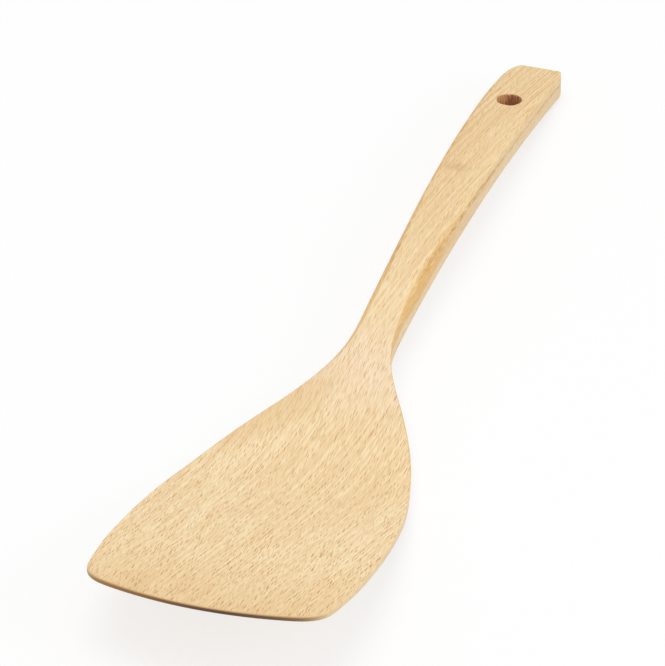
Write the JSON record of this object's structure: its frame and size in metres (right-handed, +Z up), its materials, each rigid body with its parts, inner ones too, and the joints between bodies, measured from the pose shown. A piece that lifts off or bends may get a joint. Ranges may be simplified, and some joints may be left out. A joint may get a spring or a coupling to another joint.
{
  "type": "wooden spatula",
  "caption": "Wooden cooking turner with a thin flared blade, bowed tip, narrow neck and S-curved flat handle pierced by a hanging hole.",
  "frame": {"origin": "on the table, under the middle of the spatula's box, as it rests on its heel and the end of its handle", "axes": "+Z up; +Y along the spatula from the tip to the handle's end; +X to the right, seen from the tip"},
  "size_m": [0.0864, 0.3768, 0.03],
  "materials": {
    "beech": "sanded, unvarnished beech with fine dark flecks along the grain"
  },
  "bodies": {
    "root": {"spatula_body": "beech"}
  },
  "joints": []
}
